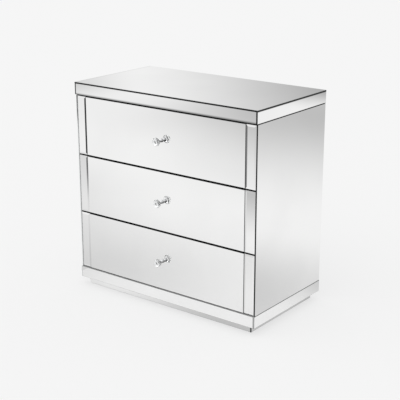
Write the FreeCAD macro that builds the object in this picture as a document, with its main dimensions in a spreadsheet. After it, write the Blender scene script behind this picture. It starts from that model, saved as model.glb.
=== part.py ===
import FreeCAD, Part
import math
import os

import Sketcher
from FreeCAD import Placement, Rotation, Vector

# A straight mirrored chest with three drawers, in millimetres.  +Z is up and the fronts face -Y.
# The origin is on the floor, under the middle of the whole footprint with the knobs included.
# A board carcass carries glued mirror glass; each drawer runs on a pair of telescopic ball runners.

doc = FreeCAD.newDocument("mirrored_chest")

# ---------------------------------------------------------------- driving dimensions

DRIVING = (
    # the whole chest
    ("width", 850, "across the top"),
    ("depth", 450, "front to back across the top, without the knobs"),
    ("slab_height", 48, "thickness of the top, glass included"),
    ("base_height", 45, "height of the band under the drawers"),
    ("plinth_height", 31, "height of the recessed plinth"),
    ("plinth_inset_side", 26, "plinth glass behind the side of the base"),
    ("plinth_inset_front", 22, "plinth glass behind the front of the base"),
    ("plinth_inset_back", 20, "plinth board in front of the back"),
    ("plinth_glass_lift", 1.5, "plinth glass above the floor"),
    # boards
    ("board", 18, "carcass board"),
    ("rail_width", 60, "width of the build-up rails and the divider rails"),
    ("back_thickness", 5, "back panel"),
    ("back_rebate", 9, "width of the rebate that takes the back panel"),
    # glass
    ("glass", 5, "mirror glass"),
    ("front_setback", 5, "drawer glass behind the front of the top and base"),
    ("side_reveal", 1, "side glass inside the side of the top and base"),
    ("side_head_gap", 2.5, "gap between the side glass and the top"),
    ("strip_width", 43, "bevelled strip at each end of a drawer front"),
    ("strip_bevel", 7, "width of the bevel on a drawer strip"),
    ("bevel_drop", 1.8, "how far a bevel falls to the edge of the glass"),
    ("arris", 1, "ground arris on a flat plate"),
    ("glass_joint", 0.6, "joint between two plates of one drawer front"),
    # drawer fronts
    ("front_height", 229, "height of a drawer front"),
    ("front_gap", 6, "gap between two drawer fronts"),
    ("foot_gap", 1.5, "gap between the lowest drawer front and the base"),
    ("head_gap", 5.5, "gap between the top and the highest drawer front"),
    ("front_side_gap", 1.5, "gap between a drawer front and the side glass"),
    ("front_board", 16, "drawer front board"),
    ("front_stop", 2, "gap between a drawer front board and the carcass"),
    # drawer boxes
    ("box_board", 12, "side, front and back of a drawer box"),
    ("box_height", 165, "height of a drawer box"),
    ("box_lift", 24, "drawer box above the lower edge of its front"),
    ("box_length", 400, "front to back length of a drawer box"),
    ("bottom_thickness", 5, "drawer bottom"),
    ("bottom_lift", 10, "groove for the bottom above the edge of the box"),
    ("groove_depth", 6, "depth of the groove for the bottom"),
    ("groove_play", 0.2, "play of the bottom in its groove"),
    # runners
    ("runner_width", 12.7, "room for a runner between box and carcass"),
    ("runner_height", 45, "height of the cabinet member"),
    ("runner_length", 400, "length of the cabinet member"),
    ("runner_front_gap", 2, "cabinet member behind the edge of the carcass side"),
    ("runner_lift", 66, "middle of the runner above the lower edge of the front"),
    ("steel", 1.5, "sheet of the runner members"),
    ("race_gap", 2.5, "between the flanges that face each other across the balls"),
    ("ball_diameter", 3.5, "bearing ball"),
    ("race_play", 0.05, "play of a ball in its race"),
    ("flange_gap", 0.5, "between the end of a flange and the next web"),
    ("cage_sheet", 0.5, "sheet of the ball cages"),
    ("cage_play", 0.3, "between a cage and the webs on both sides of it"),
    ("cage_length", 200, "length of a ball cage"),
    ("cage_end", 8, "first ball window from the end of a cage"),
    ("cage_lip", 0.8, "edge of a cage outside its ball windows"),
    ("window_play", 0.1, "play of a ball in its window"),
    # knobs
    ("knob_projection", 42, "knob in front of the drawer glass"),
    ("knob_diameter", 32, "crystal head at its widest"),
    ("knob_head_length", 22, "length of the crystal head"),
    ("knob_table", 18, "flat face at the front of the crystal"),
    ("knob_girdle", 3, "length of the widest band of the crystal"),
    ("knob_back_slope", 8, "length of the slope behind the girdle"),
    ("knob_crown_diameter", 27, "ring of corners between the girdle and the table"),
    ("knob_crown_share", 0.45, "place of that ring between the girdle and the table"),
    ("foot_diameter", 15, "foot of the metal base"),
    ("foot_thickness", 2, "rim of the foot"),
    ("stem_diameter", 12, "stem of the metal base"),
    ("collar_diameter", 16, "collar that holds the crystal"),
    ("collar_thickness", 3.5, "rim of the collar"),
    ("screw_diameter", 4, "shank of the knob screw"),
    ("screw_grip", 12, "thread of the screw inside the metal base"),
    ("screw_head_diameter", 8, "head of the knob screw"),
    ("screw_head_height", 2.4, "height of the screw head"),
    ("screw_play", 0.3, "radial play of the screw in the front"),
)

DRAWERS = ("bottom", "middle", "top")
KNOB_FACETS = 10
CAGE_WINDOWS = 6

dims = doc.addObject("Spreadsheet::Sheet", "Dims")
for row, (alias, size, meaning) in enumerate(DRIVING, start=1):
    dims.set(f"A{row}", meaning)
    dims.set(f"B{row}", str(size))
    dims.setAlias(f"B{row}", alias)
doc.recompute()

# ---------------------------------------------------------------- places worked out from them

HALF_WIDTH = "(Dims.width / 2)"
KNOB_PROUD = "(Dims.knob_projection - Dims.front_setback)"
FRONT = f"(({KNOB_PROUD} - Dims.depth) / 2)"
BACK = f"({FRONT} + Dims.depth)"

BASE_BOTTOM = "Dims.plinth_height"
BAY_FLOOR = "(Dims.plinth_height + Dims.base_height)"
FIRST_FRONT = f"({BAY_FLOOR} + Dims.foot_gap)"
PITCH = "(Dims.front_height + Dims.front_gap)"
BAY_TOP = f"({FIRST_FRONT} + {len(DRAWERS)} * {PITCH} - Dims.front_gap + Dims.head_gap)"
TOP = f"({BAY_TOP} + Dims.slab_height)"
GLASS_BOTTOM = f"({TOP} - Dims.glass)"

CORE_SIDE = f"({HALF_WIDTH} - Dims.glass)"
CORE_FRONT = f"({FRONT} + Dims.glass)"
SIDE_GLASS = f"({HALF_WIDTH} - Dims.side_reveal)"
SIDE_OUTER = f"({SIDE_GLASS} - Dims.glass)"
SIDE_INNER = f"({SIDE_OUTER} - Dims.board)"

DRAWER_FACE = f"({FRONT} + Dims.front_setback)"
FRONT_BOARD = f"({DRAWER_FACE} + Dims.glass)"
FRONT_BOARD_BACK = f"({FRONT_BOARD} + Dims.front_board)"
CARCASS_FRONT = f"({FRONT_BOARD_BACK} + Dims.front_stop)"
FRONT_HALF = f"({SIDE_OUTER} - Dims.front_side_gap)"
CENTRE_HALF = f"({FRONT_HALF} - Dims.strip_width - Dims.glass_joint)"

BOX_HALF = f"({SIDE_INNER} - Dims.runner_width)"
BOX_INNER = f"({BOX_HALF} - Dims.box_board)"
BOX_BACK = f"({FRONT_BOARD_BACK} + Dims.box_length)"

PLINTH_SIDE = f"({HALF_WIDTH} - Dims.plinth_inset_side)"
PLINTH_FRONT = f"({FRONT} + Dims.plinth_inset_front)"
PLINTH_BACK = f"({BACK} - Dims.plinth_inset_back)"

ARRIS = ("Dims.arris", "Dims.arris")

FACING_UP = Rotation()
FACING_FRONT = Rotation(Vector(1, 0, 0), Vector(0, 0, 1), Vector(0, -1, 0), "XYZ")
FACING_LEFT = Rotation(Vector(0, -1, 0), Vector(0, 0, 1), Vector(-1, 0, 0), "XYZ")

exported = []


# ---------------------------------------------------------------- modelling helpers

def worth(expression):
    """The number that an expression over the sheet stands for."""
    return float(dims.evalExpression(expression))


def place(piece, corner, rotation=None):
    """Bind a piece's position to three expressions, turned by a fixed rotation."""
    if rotation is not None:
        piece.Placement = Placement(Vector(), rotation)
    for axis, expression in zip("xyz", corner):
        piece.setExpression(f"Placement.Base.{axis}", expression)


def keep(piece):
    """List a finished sub-part for export under its own label."""
    exported.append(piece)
    return piece


def new_body(label):
    return doc.addObject("PartDesign::Body", label)


def new_sketch(body, name, plane="XY_Plane", lift="0"):
    """Sketch on one of the body's own origin planes, raised off it by an expression."""
    sketch = body.newObject("Sketcher::SketchObject", name)
    support = next(f for f in body.Origin.OriginFeatures if f.Role == plane)
    sketch.AttachmentSupport = (support, [""])
    sketch.MapMode = "FlatFace"
    sketch.setExpression("AttachmentOffset.Base.z", lift)
    return sketch


def pin_point(sketch, curve, end, x, y, name):
    """Hold one end or the centre of a curve at a place given by two expressions."""
    for direction, expression in (("X", x), ("Y", y)):
        held = Sketcher.Constraint(f"Distance{direction}", -1, 1, curve, end, worth(expression))
        index = sketch.addConstraint(held)
        sketch.renameConstraint(index, f"{name}_{direction}")
        sketch.setExpression(f"Constraints.{name}_{direction}", expression)


def outline(body, name, points, plane="XY_Plane", lift="0"):
    """Closed outline with straight edges through points given as pairs of expressions."""
    sketch = new_sketch(body, name, plane, lift)
    spots = [Vector(worth(x), worth(y), 0) for x, y in points]
    for start, end in zip(spots, spots[1:] + spots[:1]):
        sketch.addGeometry(Part.LineSegment(start, end))
    for line, (x, y) in enumerate(points):
        sketch.addConstraint(Sketcher.Constraint("Coincident", line, 2, (line + 1) % len(points), 1))
        pin_point(sketch, line, 1, x, y, f"corner{line}")
    return sketch


def rectangle(body, name, x, y, plane="XY_Plane", lift="0"):
    """Rectangle between two expressions along each axis of the sketch."""
    corners = [(x[0], y[0]), (x[1], y[0]), (x[1], y[1]), (x[0], y[1])]
    return outline(body, name, corners, plane, lift)


def circles(body, name, centres, diameter, plane="XY_Plane", lift="0"):
    """Equal circles round centres given as pairs of expressions."""
    sketch = new_sketch(body, name, plane, lift)
    for circle, (x, y) in enumerate(centres):
        middle = Vector(worth(x), worth(y), 0)
        sketch.addGeometry(Part.Circle(middle, Vector(0, 0, 1), worth(diameter) / 2))
        pin_point(sketch, circle, 3, x, y, f"centre{circle}")
        index = sketch.addConstraint(Sketcher.Constraint("Diameter", circle, worth(diameter)))
        sketch.renameConstraint(index, f"diameter{circle}")
        sketch.setExpression(f"Constraints.diameter{circle}", diameter)
    return sketch


def pad(body, sketch, length, backwards=False):
    feature = body.newObject("PartDesign::Pad", f"{sketch.Name}_pad")
    feature.Profile = sketch
    feature.setExpression("Length", length)
    feature.Reversed = backwards
    return feature


def cut_through(body, sketch):
    """Pocket through the whole solid on both sides of its sketch."""
    doc.recompute()
    before = body.Shape.Volume
    feature = body.newObject("PartDesign::Pocket", f"{sketch.Name}_cut")
    feature.Profile = sketch
    feature.Type = "ThroughAll"
    feature.Midplane = True
    doc.recompute()
    if body.Shape.Volume >= before:
        raise RuntimeError(f"{sketch.Label} cuts nothing from {body.Label}")
    return feature


def turn(body, sketch):
    """Revolve a sketch of the XZ plane round the body's Z axis."""
    feature = body.newObject("PartDesign::Revolution", f"{sketch.Name}_turned")
    feature.Profile = sketch
    feature.ReferenceAxis = (sketch, ["V_Axis"])
    feature.Angle = 360
    return feature


def block(label, x, y, z):
    """Square-edged board between two expressions along each axis."""
    box = doc.addObject("Part::Box", label)
    for size, axis, (low, high) in zip(("Length", "Width", "Height"), "xyz", (x, y, z)):
        box.setExpression(size, f"({high}) - ({low})")
        box.setExpression(f"Placement.Base.{axis}", low)
    return box


def mirrored(label, source):
    """The same piece on the other side of the chest."""
    twin = doc.addObject("Part::Mirroring", label)
    twin.Source = source
    twin.Normal = Vector(1, 0, 0)
    return twin


def group(label, pieces):
    """Separate solids that share one node."""
    compound = doc.addObject("Part::Compound", label)
    compound.Links = pieces
    return compound


def pair(label, left):
    """A left-hand piece and its twin on the right as one node."""
    return group(label, [left, mirrored(f"{label}_right", left)])


def glass_plate(label, length, height, bevel, drop, corner, rotation, hole=None):
    """Mirror glass with a bevel all round its face.

    The plate's silvered back lies on the body's XY plane and its face looks along local +Z.
    hole is an optional (x, y, diameter) through the plate.
    """
    body = new_body(label)
    shoulder = f"(Dims.glass - {drop})"
    outer = (("0", length), ("0", height))
    inner = ((bevel, f"{length} - {bevel}"), (bevel, f"{height} - {bevel}"))
    pad(body, rectangle(body, f"{label}_back", *outer), shoulder)
    loft = body.newObject("PartDesign::AdditiveLoft", f"{label}_bevel")
    loft.Profile = rectangle(body, f"{label}_shoulder", *outer, lift=shoulder)
    loft.Sections = [rectangle(body, f"{label}_face", *inner, lift="Dims.glass")]
    if hole is not None:
        cut_through(body, circles(body, f"{label}_hole", [hole[:2]], hole[2]))
    place(body, corner, rotation)
    return body


# ---------------------------------------------------------------- carcass

def rail_frame(label, x_half, y_front, y_back, z, thickness):
    """Four boards on edge or on the flat that make a rectangular frame, front to back."""
    front_inner = f"({y_front} + {thickness})"
    back_inner = f"({y_back} - {thickness})"
    front = block(f"{label}_front", (f"-{x_half}", x_half), (y_front, front_inner), z)
    back = block(f"{label}_back", (f"-{x_half}", x_half), (back_inner, y_back), z)
    left_inner = f"-({x_half} - {thickness})"
    left = block(f"{label}_left", (f"-{x_half}", left_inner), (front_inner, back_inner), z)
    return group(label, [front, back, left, mirrored(f"{label}_right", left)])


def build_edge_strips(name, bottom, top):
    """Mirror strips round the front and sides of the top or the base."""
    height = f"({top} - {bottom})"
    front = glass_plate(f"{name}_edge_mirror_front", f"(2 * {CORE_SIDE})", height, *ARRIS,
                        (f"-{CORE_SIDE}", CORE_FRONT, bottom), FACING_FRONT)
    left = glass_plate(f"{name}_edge_mirror_left", "Dims.depth", height, *ARRIS,
                       (f"-{CORE_SIDE}", BACK, bottom), FACING_LEFT)
    keep(front)
    keep(pair(f"{name}_edge_mirrors_side", left))


def build_top():
    panel_bottom = f"({GLASS_BOTTOM} - Dims.board)"
    keep(glass_plate("top_mirror", "Dims.width", "Dims.depth", *ARRIS,
                     (f"-{HALF_WIDTH}", FRONT, GLASS_BOTTOM), FACING_UP))
    keep(block("top_panel", (f"-{CORE_SIDE}", CORE_SIDE), (CORE_FRONT, BACK),
               (panel_bottom, GLASS_BOTTOM)))
    keep(rail_frame("top_rails", CORE_SIDE, CORE_FRONT, BACK, (BAY_TOP, panel_bottom),
                    "Dims.rail_width"))
    build_edge_strips("top", BAY_TOP, GLASS_BOTTOM)


def build_base():
    panel_bottom = f"({BAY_FLOOR} - Dims.board)"
    keep(block("bottom_panel", (f"-{CORE_SIDE}", CORE_SIDE), (CORE_FRONT, BACK),
               (panel_bottom, BAY_FLOOR)))
    keep(rail_frame("base_rails", CORE_SIDE, CORE_FRONT, BACK, (BASE_BOTTOM, panel_bottom),
                    "Dims.rail_width"))
    build_edge_strips("base", BASE_BOTTOM, BAY_FLOOR)


def build_plinth():
    """Recessed plinth: a board frame with mirror strips on the front and the sides."""
    board_side = f"({PLINTH_SIDE} - Dims.glass)"
    board_front = f"({PLINTH_FRONT} + Dims.glass)"
    keep(rail_frame("plinth_boards", board_side, board_front, PLINTH_BACK, ("0", BASE_BOTTOM),
                    "Dims.board"))
    height = "(Dims.plinth_height - Dims.plinth_glass_lift)"
    front = glass_plate("plinth_mirror_front", f"(2 * {board_side})", height, *ARRIS,
                        (f"-{board_side}", board_front, "Dims.plinth_glass_lift"), FACING_FRONT)
    left = glass_plate("plinth_mirror_left", f"({PLINTH_BACK} - {PLINTH_FRONT})", height, *ARRIS,
                       (f"-{board_side}", PLINTH_BACK, "Dims.plinth_glass_lift"), FACING_LEFT)
    keep(group("plinth_mirrors", [front, left, mirrored("plinth_mirror_right", left)]))


def build_sides():
    """Side panels rebated for the back panel, and the mirror glass on them."""
    body = new_body("side_panel_left")
    depth = f"({BACK} - {CARCASS_FRONT})"
    rebated = f"({depth} - Dims.back_thickness)"
    step = "(Dims.board - Dims.back_rebate)"
    section = outline(body, "side_panel_section", [
        ("0", "0"), ("Dims.board", "0"), ("Dims.board", rebated),
        (step, rebated), (step, depth), ("0", depth)])
    pad(body, section, f"({BAY_TOP} - {BAY_FLOOR})")
    place(body, (f"-{SIDE_OUTER}", CARCASS_FRONT, BAY_FLOOR))
    keep(body)
    keep(mirrored("side_panel_right", body))

    length = f"({BACK} - {DRAWER_FACE})"
    height = f"({BAY_TOP} - Dims.side_head_gap - {BAY_FLOOR})"
    glass = glass_plate("side_mirror_left", length, height, *ARRIS,
                        (f"-{SIDE_OUTER}", BACK, BAY_FLOOR), FACING_LEFT)
    keep(glass)
    keep(mirrored("side_mirror_right", glass))


def build_back():
    half = f"({SIDE_INNER} + Dims.back_rebate)"
    keep(block("back_panel", (f"-{half}", half), (f"({BACK} - Dims.back_thickness)", BACK),
               (BAY_FLOOR, BAY_TOP)))


def build_dividers():
    """Rails between the drawers, on the flat behind the drawer fronts."""
    rails = []
    for number, (lower, upper) in enumerate(zip(DRAWERS, DRAWERS[1:]), start=1):
        middle = f"({FIRST_FRONT} + {number} * {PITCH} - Dims.front_gap / 2)"
        rails.append(block(f"divider_rail_{lower}_{upper}", (f"-{SIDE_INNER}", SIDE_INNER),
                           (CARCASS_FRONT, f"({CARCASS_FRONT} + Dims.rail_width)"),
                           (f"({middle} - Dims.board / 2)", f"({middle} + Dims.board / 2)")))
    keep(group("divider_rails", rails))


# ---------------------------------------------------------------- drawer front and knob

def build_front(drawer, floor):
    """Front board with a plain centre mirror and a bevelled strip at each end."""
    middle = f"({floor} + Dims.front_height / 2)"
    screw_hole = "(Dims.screw_diameter + 2 * Dims.screw_play)"

    board = new_body(f"{drawer}_drawer_front_board")
    pad(board, rectangle(board, f"{drawer}_front_board_outline", (f"-{FRONT_HALF}", FRONT_HALF),
                         ("0", "Dims.front_height")), "Dims.front_board")
    cut_through(board, circles(board, f"{drawer}_front_board_hole",
                               [("0", "Dims.front_height / 2")], screw_hole))
    place(board, ("0", FRONT_BOARD_BACK, floor), FACING_FRONT)
    keep(board)

    keep(glass_plate(f"{drawer}_drawer_mirror_centre", f"(2 * {CENTRE_HALF})", "Dims.front_height",
                     *ARRIS, (f"-{CENTRE_HALF}", FRONT_BOARD, floor), FACING_FRONT,
                     (CENTRE_HALF, "Dims.front_height / 2", screw_hole)))
    strip = glass_plate(f"{drawer}_drawer_mirror_strip_left", "Dims.strip_width",
                        "Dims.front_height", "Dims.strip_bevel", "Dims.bevel_drop",
                        (f"-{FRONT_HALF}", FRONT_BOARD, floor), FACING_FRONT)
    keep(pair(f"{drawer}_drawer_mirror_strips", strip))
    build_knob(drawer, middle)


def build_knob(drawer, middle):
    """Crystal knob: turned metal base, cut crystal head and a screw from inside the drawer."""
    base_length = "(Dims.knob_projection - Dims.knob_head_length)"
    collar = f"({base_length} - Dims.collar_thickness)"
    bore = "(Dims.screw_diameter / 2)"
    foot, stem, rim = (f"(Dims.{part}_diameter / 2)" for part in ("foot", "stem", "collar"))

    base = new_body(f"{drawer}_knob_base")
    turn(base, outline(base, f"{drawer}_knob_base_section", [
        (bore, "0"), (foot, "0"), (foot, "Dims.foot_thickness"), (stem, "Dims.foot_thickness"),
        (stem, collar), (rim, collar), (rim, base_length), ("0", base_length),
        ("0", "Dims.screw_grip"), (bore, "Dims.screw_grip")], "XZ_Plane"))
    place(base, ("0", DRAWER_FACE, middle), FACING_FRONT)
    keep(base)

    keep(build_crystal(drawer, middle, base_length))

    screw = new_body(f"{drawer}_knob_screw")
    through = "(Dims.glass + Dims.front_board + Dims.box_board)"
    tip = f"({through} + Dims.screw_grip)"
    head = "(Dims.screw_head_diameter / 2)"
    turn(screw, outline(screw, f"{drawer}_knob_screw_section", [
        ("0", "-Dims.screw_head_height"), (head, "-Dims.screw_head_height"),
        (head, "0"), (bore, "0"), (bore, tip), ("0", tip)], "XZ_Plane"))
    place(screw, ("0", f"({DRAWER_FACE} + {through})", middle), FACING_FRONT)
    keep(screw)


def build_crystal(drawer, middle, seat):
    """Cut crystal head: rings of corners, each turned half a facet from the last, joined by facets."""
    slope_end = f"({seat} + Dims.knob_back_slope)"
    girdle_end = f"({slope_end} + Dims.knob_girdle)"
    crown = f"({girdle_end} + Dims.knob_crown_share * (Dims.knob_projection - {girdle_end}))"
    rings = []
    for half_turns, lift, diameter in (
            (0, seat, "Dims.collar_diameter"), (1, slope_end, "Dims.knob_diameter"),
            (1, girdle_end, "Dims.knob_diameter"), (2, crown, "Dims.knob_crown_diameter"),
            (3, "Dims.knob_projection", "Dims.knob_table")):
        rings.append(ring(worth(diameter) / 2, worth(lift), half_turns))
    facets = [Part.Face(Part.makePolygon(rings[0] + rings[0][:1])),
              Part.Face(Part.makePolygon(rings[-1] + rings[-1][:1]))]
    for low, high in zip(rings, rings[1:]):
        facets += facet_band(low, high)
    crystal = doc.addObject("Part::Feature", f"{drawer}_knob_crystal")
    crystal.Shape = Part.Solid(Part.Shell(facets))
    place(crystal, ("0", DRAWER_FACE, middle), FACING_FRONT)
    return crystal


def ring(radius, lift, half_turns):
    """Corners of one ring of the crystal, turned by a number of half facets."""
    step = 2 * math.pi / KNOB_FACETS
    angles = [(corner + half_turns / 2) * step for corner in range(KNOB_FACETS)]
    return [Vector(radius * math.cos(angle), radius * math.sin(angle), lift) for angle in angles]


def facet_band(low, high):
    """Triangles between two rings of corners."""
    facets = []
    for corner in range(KNOB_FACETS):
        following = (corner + 1) % KNOB_FACETS
        for points in ((low[corner], low[following], high[corner]),
                       (low[following], high[following], high[corner])):
            facets.append(Part.Face(Part.makePolygon([*points, points[0]])))
    return facets


# ---------------------------------------------------------------- drawer box

def build_box(drawer, floor):
    """Open box of thin boards, with its bottom let into grooves on all four sides."""
    low = f"({floor} + Dims.box_lift)"
    groove_low = "Dims.bottom_lift"
    groove_high = "(Dims.bottom_lift + Dims.bottom_thickness + Dims.groove_play)"
    rest = "(Dims.box_board - Dims.groove_depth)"

    def grooved(label, plane, length, corner, backwards=False, rotation=None):
        """Board section with the groove on its positive side, drawn out to a length."""
        body = new_body(label)
        section = outline(body, f"{label}_section", [
            ("0", "0"), ("Dims.box_board", "0"), ("Dims.box_board", groove_low),
            (rest, groove_low), (rest, groove_high), ("Dims.box_board", groove_high),
            ("Dims.box_board", "Dims.box_height"), ("0", "Dims.box_height")], plane)
        pad(body, section, length, backwards)
        place(body, corner, rotation)
        return body

    side = grooved(f"{drawer}_drawer_side_left", "XZ_Plane", "Dims.box_length",
                   (f"-{BOX_HALF}", FRONT_BOARD_BACK, low), backwards=True)
    keep(pair(f"{drawer}_drawer_sides", side))

    front = grooved(f"{drawer}_drawer_box_front", "YZ_Plane", f"(2 * {BOX_INNER})",
                    (f"-{BOX_INNER}", FRONT_BOARD_BACK, low))
    cut_through(front, circles(front, f"{drawer}_box_front_hole",
                               [(BOX_INNER, "Dims.front_height / 2 - Dims.box_lift")],
                               "(Dims.screw_diameter + 2 * Dims.screw_play)", "XZ_Plane"))
    keep(front)

    keep(grooved(f"{drawer}_drawer_box_back", "YZ_Plane", f"(2 * {BOX_INNER})",
                 (BOX_INNER, BOX_BACK, low), rotation=Rotation(Vector(0, 0, 1), 180)))

    half = f"({BOX_INNER} + Dims.groove_depth - Dims.groove_play)"
    let_in = f"({rest} + Dims.groove_play)"
    bottom_low = f"({low} + Dims.bottom_lift)"
    keep(block(f"{drawer}_drawer_bottom", (f"-{half}", half),
               (f"({FRONT_BOARD_BACK} + {let_in})", f"({BOX_BACK} - {let_in})"),
               (bottom_low, f"({bottom_low} + Dims.bottom_thickness)")))


# ---------------------------------------------------------------- telescopic runners

# Across a runner, x runs from the carcass side (0) to the drawer box (runner_width) and z is 0 at
# mid height.  The three members nest, each one race gap smaller than the one round it, and a cage
# with its balls runs in each race gap.
RUNNER_FRONT = f"({CARCASS_FRONT} + Dims.runner_front_gap)"
STEP_IN = "(Dims.steel + Dims.race_gap)"
WEB_STEP = "(Dims.steel + 2 * Dims.cage_play + Dims.cage_sheet)"
CABINET_HALF = "(Dims.runner_height / 2)"
MIDDLE_HALF = f"({CABINET_HALF} - {STEP_IN})"
DRAWER_HALF = f"({MIDDLE_HALF} - {STEP_IN})"
MIDDLE_WEB = WEB_STEP
OUTER_FLANGE_END = "(Dims.runner_width - Dims.steel - Dims.flange_gap)"
INNER_FLANGE_END = f"(2 * {WEB_STEP})"
OUTER_RACE = f"({CABINET_HALF} - Dims.steel - Dims.race_gap / 2)"
INNER_RACE = f"({MIDDLE_HALF} - Dims.steel - Dims.race_gap / 2)"
OUTER_RACE_X = f"(({MIDDLE_WEB} + {OUTER_FLANGE_END}) / 2)"
INNER_RACE_X = f"(({INNER_FLANGE_END} + {OUTER_FLANGE_END}) / 2)"


def channel_section(body, web, flange_end, half, sheet, inward=1):
    """Section of a channel whose web stands at x = web and whose flanges end at x = flange_end.

    inward is 1 where the flanges run towards the drawer and -1 where they run back from it.
    """
    inner_web = f"({web} + {inward} * {sheet})"
    inner = f"({half} - {sheet})"
    return outline(body, f"{body.Name}_section", [
        (web, f"-{half}"), (flange_end, f"-{half}"), (flange_end, f"-{inner}"),
        (inner_web, f"-{inner}"), (inner_web, inner), (flange_end, inner),
        (flange_end, half), (web, half)], "XZ_Plane")


def member(label, web, flange_end, half, races, floor, inward=1):
    """Rolled steel member of a left-hand runner, with the ball races pressed into its flanges.

    races lists the (x, z) of the ball rows that this member touches above its middle.
    """
    body = new_body(label)
    pad(body, channel_section(body, web, flange_end, half, "Dims.steel", inward),
        "Dims.runner_length", True)
    centres = races + [(x, f"-{z}") for x, z in races]
    cut_through(body, circles(body, f"{label}_races", centres,
                              "(Dims.ball_diameter + 2 * Dims.race_play)", "XZ_Plane"))
    place(body, (f"-{SIDE_INNER}", RUNNER_FRONT, f"({floor} + Dims.runner_lift)"))
    return body


def cage(label, web, race_x, race_z, floor):
    """Sheet-metal ball cage between two members: a thin channel with a window for each ball."""
    body = new_body(label)
    window_half = "(Dims.ball_diameter / 2 + Dims.window_play)"
    ear_end = f"({race_x} + {window_half} + Dims.cage_lip)"
    pad(body, channel_section(body, web, ear_end, f"({race_z} + Dims.cage_sheet / 2)",
                              "Dims.cage_sheet"), "Dims.cage_length", True)
    window = rectangle(body, f"{label}_window",
                       (f"{race_x} - {window_half}", f"{race_x} + {window_half}"),
                       (f"Dims.cage_end - {window_half}", f"Dims.cage_end + {window_half}"))
    first = cut_through(body, window)
    row = body.newObject("PartDesign::LinearPattern", f"{label}_windows")
    row.Originals = [first]
    along = next(f for f in body.Origin.OriginFeatures if f.Role == "Y_Axis")
    row.Direction = (along, [""])
    row.setExpression("Length", "Dims.cage_length - 2 * Dims.cage_end")
    row.Occurrences = CAGE_WINDOWS
    body.Tip = row
    place(body, (f"-{SIDE_INNER}",
                 f"({RUNNER_FRONT} + (Dims.runner_length - Dims.cage_length) / 2)",
                 f"({floor} + Dims.runner_lift)"))
    return body


def build_runner(drawer, floor):
    """Both runners of one drawer; returns the cabinet members, which all drawers share a node for."""
    outer = (OUTER_RACE_X, OUTER_RACE)
    inner = (INNER_RACE_X, INNER_RACE)
    cabinet = member(f"{drawer}_runner_cabinet_left", "0", OUTER_FLANGE_END, CABINET_HALF,
                     [outer], floor)
    middle = member(f"{drawer}_runner_middle_left", MIDDLE_WEB, OUTER_FLANGE_END, MIDDLE_HALF,
                    [outer, inner], floor)
    moving = member(f"{drawer}_runner_drawer_left", "Dims.runner_width", INNER_FLANGE_END,
                    DRAWER_HALF, [inner], floor, inward=-1)
    outer_cage = cage(f"{drawer}_runner_outer_cage_left", "(Dims.steel + Dims.cage_play)",
                      *outer, floor)
    inner_cage = cage(f"{drawer}_runner_inner_cage_left",
                      f"({MIDDLE_WEB} + Dims.steel + Dims.cage_play)", *inner, floor)
    keep(pair(f"{drawer}_runner_outer_cages", outer_cage))
    keep(pair(f"{drawer}_runner_middle_members", middle))
    keep(pair(f"{drawer}_runner_inner_cages", inner_cage))
    keep(pair(f"{drawer}_runner_drawer_members", moving))
    return [cabinet, mirrored(f"{drawer}_runner_cabinet_right", cabinet)]


# ---------------------------------------------------------------- the whole chest

def build():
    build_top()
    build_sides()
    build_back()
    build_dividers()
    build_base()
    build_plinth()
    cabinet_members = []
    for number, drawer in enumerate(DRAWERS):
        floor = f"({FIRST_FRONT} + {number} * {PITCH})"
        build_front(drawer, floor)
        build_box(drawer, floor)
        cabinet_members += build_runner(drawer, floor)
    keep(group("runner_cabinet_members", cabinet_members))


def check():
    """Stop if any object failed or any sub-part has no sound solid."""
    for item in doc.Objects:
        if "Invalid" in item.State or "Error" in item.State:
            raise RuntimeError(f"{item.Label} failed: {item.State}")
    for piece in exported:
        if piece.Shape.isNull() or not piece.Shape.isValid() or not piece.Shape.Solids:
            raise RuntimeError(f"{piece.Label} has no sound solid")


def export():
    os.makedirs("parts", exist_ok=True)
    for piece in exported:
        piece.Shape.exportStep(f"parts/{piece.Label}.step")


build()
doc.recompute()
check()
export()
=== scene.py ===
"""Dresses a mirrored chest of drawers: glass, boards, drawer boxes, runners, knobs and the stage."""

import math
from collections import namedtuple

import bmesh
import bpy
from bpy.props import FloatProperty, FloatVectorProperty, IntProperty, PointerProperty
from bpy.types import NodeSocket, Operator, Panel, PropertyGroup, Scene
from mathutils import Matrix, Vector


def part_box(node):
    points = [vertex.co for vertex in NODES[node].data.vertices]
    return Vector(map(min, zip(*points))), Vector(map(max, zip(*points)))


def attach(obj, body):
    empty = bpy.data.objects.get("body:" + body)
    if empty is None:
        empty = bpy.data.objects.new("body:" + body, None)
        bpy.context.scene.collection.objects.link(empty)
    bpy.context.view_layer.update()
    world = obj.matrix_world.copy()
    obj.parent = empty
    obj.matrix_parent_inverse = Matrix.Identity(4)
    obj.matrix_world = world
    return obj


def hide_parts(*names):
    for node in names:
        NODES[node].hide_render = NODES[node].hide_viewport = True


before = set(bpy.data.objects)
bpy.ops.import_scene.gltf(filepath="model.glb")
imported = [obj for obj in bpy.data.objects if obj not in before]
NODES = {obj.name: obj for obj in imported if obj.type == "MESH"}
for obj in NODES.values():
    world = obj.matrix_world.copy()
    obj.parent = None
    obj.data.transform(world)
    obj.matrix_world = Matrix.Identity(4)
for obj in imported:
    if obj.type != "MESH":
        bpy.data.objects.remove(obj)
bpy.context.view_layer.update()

bl_info = {
    "name": "Mirrored Chest of Drawers",
    "version": (1, 0, 0),
    "blender": (4, 5, 0),
    "location": "View3D > Sidebar > Chest",
    "description": "Finishes the glass, boards, runners and crystal knobs of a mirrored chest",
    "category": "Object",
}

DRAWERS = ("bottom", "middle", "top")
MM = 0.001
BLACK = (0, 0, 0)

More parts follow.
